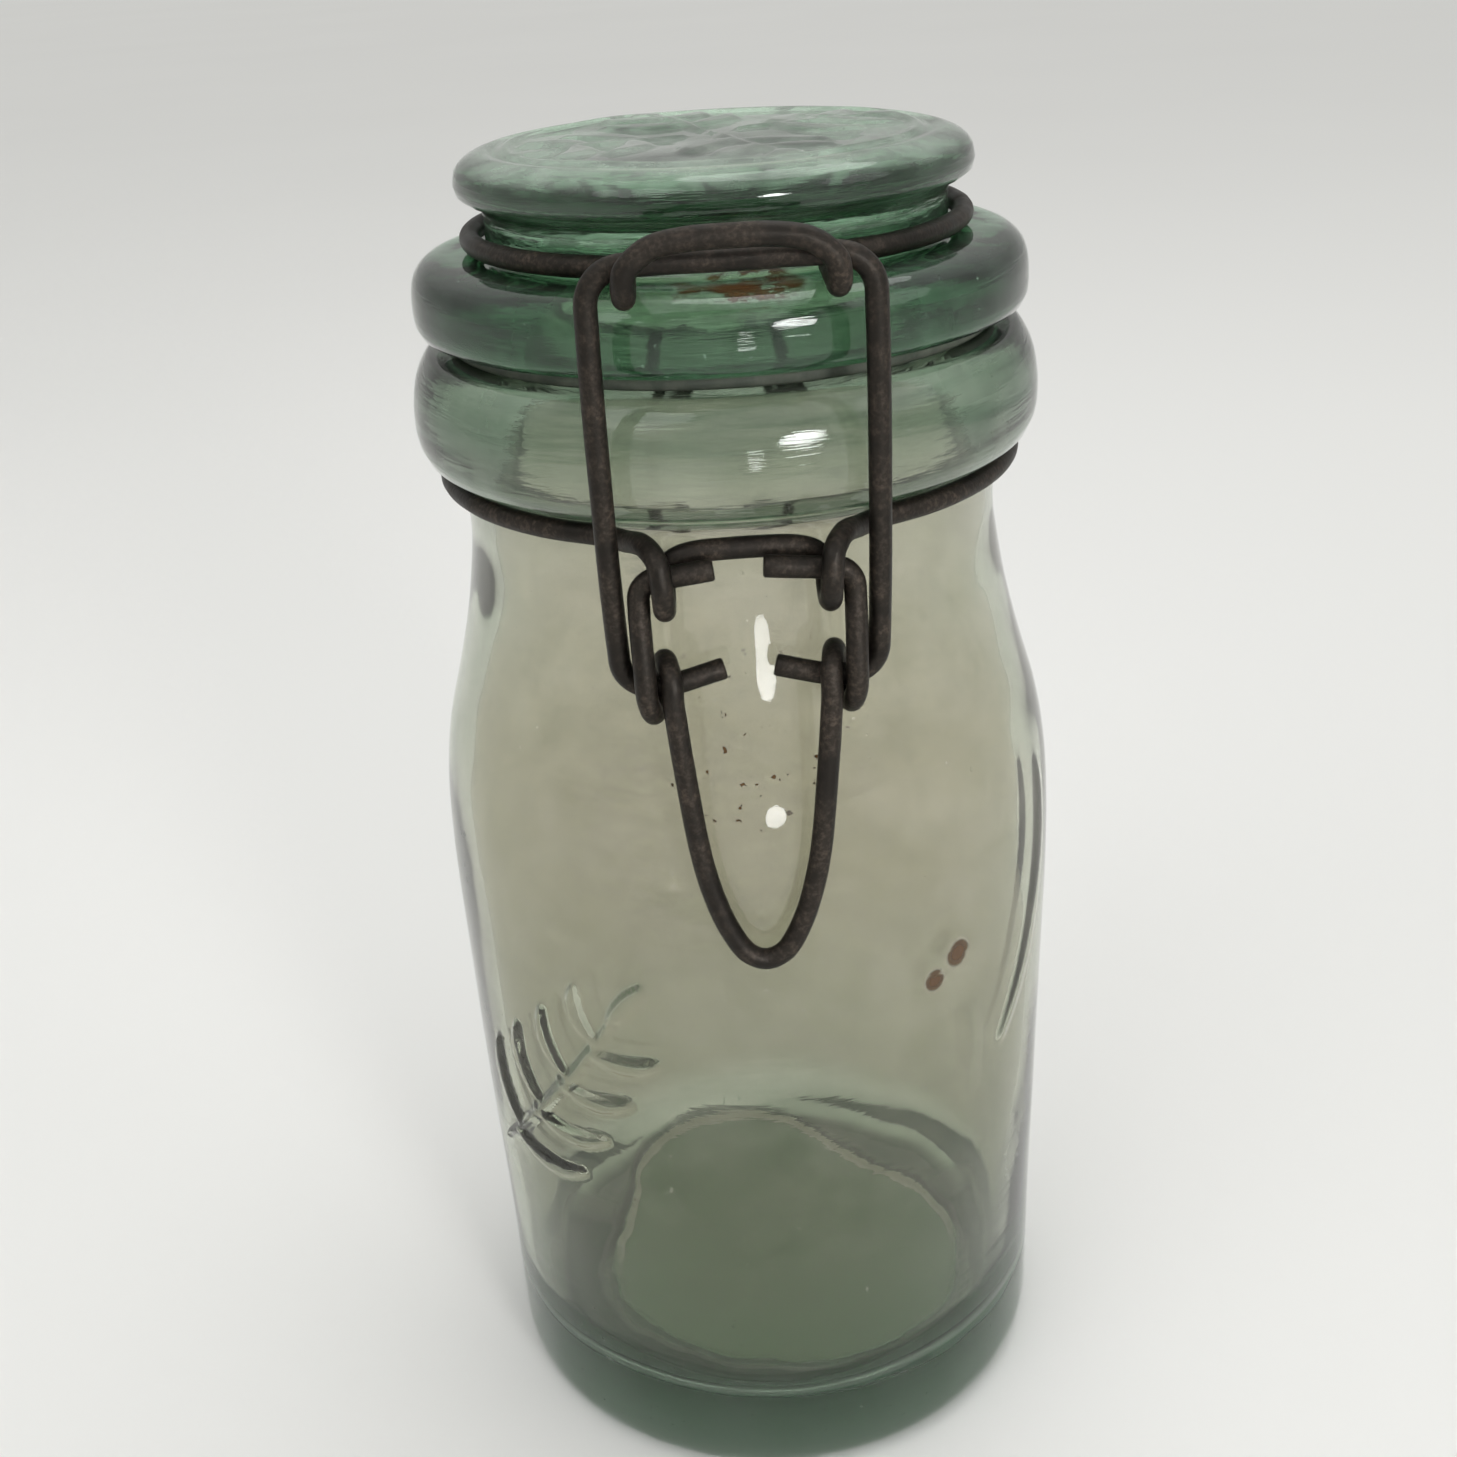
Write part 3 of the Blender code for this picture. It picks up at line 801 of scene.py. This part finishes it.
def make_jar():
    ornaments = jar_ornaments()
    outline = with_floor_edge(refined(meridian("jar_body"), jar_spacing))
    rim = rim_index(outline)
    angles = even_angles(GLASS_STEP, ((SPRIG_TURN, SPRIG_HALF_ANGLE),
                                      (FLOURISH_TURN, FLOURISH_HALF_ANGLE)))

    def shift(angles, r, z, index):
        if index > rim:
            return outer_shift(angles, r, z, ornaments)
        return inner_shift(angles, r, z)

    def mark(r, z, index):
        on_floor = index < rim and z < FILLET_TOP_Z
        return (r - FLOOR_EDGE_RADIUS) / MM if on_floor else AWAY_FROM_EDGE

    jar = lathe("jar_glass", outline, angles, shift, mark=mark)
    jar.data.materials.append(glass_material(
        "pale_green_glass", JAR_TINTS, JAR_DENSITY, JAR_STAINS, JAR_DUST, JAR_CORDS, True))
    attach(jar, "jar")
    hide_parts("jar_body")


# ---- the lid and its ring -----------------------------------------------------------------
def lid_sprigs():
    """Four sprigs pointing outwards round the middle of the lid."""
    sprig = sprig_strokes(LID_SPRIG_LENGTH, LID_SPRIG_LEAF, LID_SPRIG_LEAF_PAIRS,
                          LID_SPRIG_STEM_WIDTH, LID_SPRIG_LEAF_WIDTH)
    sprigs = []
    for quarter in range(4):
        sprigs += turned(sprig, radians(20.0 + 90.0 * quarter), LID_SPRIG_OUT)
    return sprigs


def lid_outline():
    """The lid's outline, with its top drawn again in closely spaced rings."""
    top = [(0.0, LID_TOP_Z)]
    for number in range(1, LID_TOP_RINGS):
        part = number / LID_TOP_RINGS
        top.append((LID_TOP_EDGE * part, LID_TOP_Z - LID_TOP_DROP * part ** 3))
    whole = refined(meridian("glass_lid"), lambda start, end: LID_ROW_SPACING)
    rest = [p for p in whole[1:] if p[0] >= LID_TOP_EDGE or p[1] <= LID_TOP_Z - LID_TOP_DEPTH]
    return top + rest


def lid_top_rise(angles, r, z, sprigs):
    """The relief and waves of the lid's top. Most of the relief is sunk into the glass."""
    x, y, level = ring_points(angles, r, z)
    ring = np.exp(-((r - LID_RING_RADIUS) / LID_RING_WIDTH) ** 2)
    up = np.maximum(relief_height(x, y, sprigs, LID_SPRIG_SOFTNESS), ring)
    return LID_RELIEF * (up - LID_RELIEF_SUNK) + LID_TOP_WAVE * wavy(x, y, level, 60.0, 2.0)


def lid_side_shift(angles, r, z):
    """Waves of the rest of the lid, stronger in the hollow underneath."""
    x, y, level = ring_points(angles, r, z)
    under = z < HOLLOW_TOP_Z and r < HOLLOW_RADIUS
    off_axis = min(1.0, r / LID_AXIS_FADE)
    size = HOLLOW_WAVE if under else LID_SIDE_WAVE
    rise = HOLLOW_RISE if under else 0.0
    return (size * off_axis * wavy(x, y, level * 0.6, 45.0, 31.0),
            rise * off_axis * wavy(x, y, level, 50.0, 8.0))


def make_lid():
    sprigs = lid_sprigs()

    def shift(angles, r, z, index):
        if index < LID_TOP_RINGS:
            return 0.0, lid_top_rise(angles, r, z, sprigs)
        return lid_side_shift(angles, r, z)

    lid = lathe("lid_glass", lid_outline(), even_angles(LID_STEP), shift)
    lid.data.materials.append(glass_material(
        "deep_green_glass", LID_TINTS, LID_DENSITY, LID_STAINS, LID_DUST, LID_CORDS, False))
    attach(lid, "lid")
    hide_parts("glass_lid")


def make_gasket():
    def shift(angles, r, z, index):
        x, y, level = ring_points(angles, r, 0.0)
        return RUBBER_WAVE * wavy(x, y, level, 90.0, 4.0), level

    gasket = lathe("rubber_ring", meridian("gasket"), even_angles(RUBBER_STEP), shift, True)
    gasket.data.materials.append(rubber_and_gap_shade_material())
    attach(gasket, "lid")
    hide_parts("gasket")


# ---- the wires ----------------------------------------------------------------------------
def wire_frames(line):
    """(place, along, across, up) at each point of a centre-line, without twisting."""
    frames = []
    across = (line[1] - line[0]).normalized().orthogonal().normalized()
    for index, place in enumerate(line):
        ahead = line[min(index + 1, len(line) - 1)]
        behind = line[max(index - 1, 0)]
        along = (ahead - behind).normalized()
        across = (across - along * across.dot(along)).normalized()
        frames.append((place, along, across, along.cross(across)))
    return frames


def wire_rings(frames):
    """(place, frame, share of the radius) of each ring, with chamfered ends."""
    start, end = frames[0], frames[-1]
    rings = [(start[0], start, share) for share in WIRE_END_SHARES]
    rings.append((start[0] + start[1] * WIRE_CHAMFER, start, 1.0))
    rings += [(f[0], f, 1.0) for f in frames[1:-1]]
    rings.append((end[0] - end[1] * WIRE_CHAMFER, end, 1.0))
    rings += [(end[0], end, share) for share in reversed(WIRE_END_SHARES)]
    return rings


def wire_mesh(rings):
    """The vertices and faces of a slightly uneven wire."""
    vertices = []
    for place, (_, _, across, up), share in rings:
        wobble = 1.0 + 0.012 * noise.noise(place * 260.0)
        for corner in range(WIRE_SIDES):
            angle = 2 * pi * corner / WIRE_SIDES
            out = across * cos(angle) + up * sin(angle)
            dent = 1.0 + 0.010 * noise.noise((place + out * WIRE_RADIUS) * 900.0)
            vertices.append(place + out * WIRE_RADIUS * share * wobble * dent)
    faces = [list(reversed(range(WIRE_SIDES)))]
    for ring in range(len(rings) - 1):
        for i in range(WIRE_SIDES):
            j = (i + 1) % WIRE_SIDES
            a = ring * WIRE_SIDES
            b = a + WIRE_SIDES
            faces.append([a + i, a + j, b + j, b + i])
    last = (len(rings) - 1) * WIRE_SIDES
    faces.append([last + i for i in range(WIRE_SIDES)])
    return vertices, faces


def make_wire(node, body, material):
    """A drawn round wire along a CAD wire's centre-line."""
    line = smooth_line(centre_line(node), lambda start, end: (end - start).length / WIRE_PIECES)
    vertices, faces = wire_mesh(wire_rings(wire_frames(line)))
    wire = make_object(node + "_steel", vertices, faces)
    wire.data.materials.append(material)
    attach(wire, body)
    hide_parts(node)


# ---- stage --------------------------------------------------------------------------------
FLOOR_SIZE = 12.0
LAMP_TARGET = Vector((0.0, 0.0, 0.11))

# the sky's brightness by height, from the horizon up
SKY = ((0.0, rgba(0.54, 0.54, 0.525)), (0.7, rgba(0.86, 0.86, 0.845)))
SKY_DIP = (0.25, rgba(0.44, 0.44, 0.425))

# name, place, width, watts and spread in degrees
LAMPS = (
    ("window", (-0.65, -0.75, 1.15), 0.90, 2.6, 180.0),
    ("overhead", (0.25, 0.25, 1.20), 0.80, 3.0, 180.0),
    ("fill", (0.90, -0.40, 0.75), 0.60, 0.8, 180.0),
    ("low_panel", (0.09, -0.75, 0.12), 0.08, 0.009, 40.0),
    ("front_panel", (0.31, -0.70, 0.32), 0.22, 0.16, 40.0),
)


def make_floor():
    size = FLOOR_SIZE
    corners = [(-size, -size, 0), (size, -size, 0), (size, size, 0), (-size, size, 0)]
    floor = make_object("floor", corners, [[0, 1, 2, 3]], False)
    floor.data.materials.append(floor_material())


def make_sky():
    """An even pale world, dimmest a little above the horizon."""
    world = bpy.data.worlds.new("soft_studio")
    world.use_nodes = True
    bpy.context.scene.world = world
    tree = world.node_tree
    background = tree.nodes["Background"]
    direction = tree.nodes.new("ShaderNodeTexCoord").outputs["Generated"]
    split = tree.nodes.new("ShaderNodeSeparateXYZ")
    tree.links.new(direction, split.inputs[0])
    ramp = tree.nodes.new("ShaderNodeValToRGB")
    tree.links.new(split.outputs["Z"], ramp.inputs["Fac"])
    for element, (position, colour) in zip(ramp.color_ramp.elements, SKY):
        element.position = position
        element.color = colour
    ramp.color_ramp.elements.new(SKY_DIP[0]).color = SKY_DIP[1]
    tree.links.new(ramp.outputs["Color"], background.inputs["Color"])
    background.inputs["Strength"].default_value = 1.0


def make_lamps():
    """Round soft lamps, hidden from the camera and from rays that come through the glass."""
    for name, place, size, power, spread in LAMPS:
        light = bpy.data.lights.new(name, "AREA")
        light.shape = "DISK"
        light.size = size
        light.energy = power
        light.spread = radians(spread)
        lamp = bpy.data.objects.new(name, light)
        lamp.location = place
        lamp.visible_camera = False
        lamp.visible_transmission = False
        aim = LAMP_TARGET - Vector(place)
        lamp.rotation_euler = aim.to_track_quat("-Z", "Y").to_euler()
        bpy.context.scene.collection.objects.link(lamp)


def make_camera():
    azimuth, pitch = radians(CAMERA_AZIMUTH), radians(CAMERA_PITCH)
    yaw, roll = radians(CAMERA_YAW), radians(CAMERA_ROLL)
    ahead = Vector((sin(yaw) * cos(pitch), cos(yaw) * cos(pitch), sin(pitch)))
    right = Vector((cos(yaw), -sin(yaw), 0.0))
    up = right.cross(ahead)
    tilted_right = right * cos(roll) + up * sin(roll)
    tilted_up = up * cos(roll) - right * sin(roll)
    camera = bpy.data.objects.new("camera", bpy.data.cameras.new("camera"))
    camera.data.lens = CAMERA_LENS
    camera.data.sensor_width = CAMERA_SENSOR
    camera.data.clip_start = 0.01
    matrix = Matrix((tilted_right, tilted_up, -ahead)).transposed().to_4x4()
    matrix.translation = Vector((CAMERA_DISTANCE * sin(azimuth),
                                 -CAMERA_DISTANCE * cos(azimuth), CAMERA_HEIGHT))
    camera.matrix_world = matrix
    bpy.context.scene.collection.objects.link(camera)
    bpy.context.scene.camera = camera


make_jar()
make_lid()
make_gasket()
steel = wire_material()
make_wire("neck_wire", "jar", steel)
make_wire("lid_wire", "lid_bail", steel)
make_wire("link", "clamp_link", steel)
make_wire("lever", "clamp_lever", steel)
make_floor()
make_sky()
make_lamps()
make_camera()
bpy.context.scene.view_settings.view_transform = "Standard"
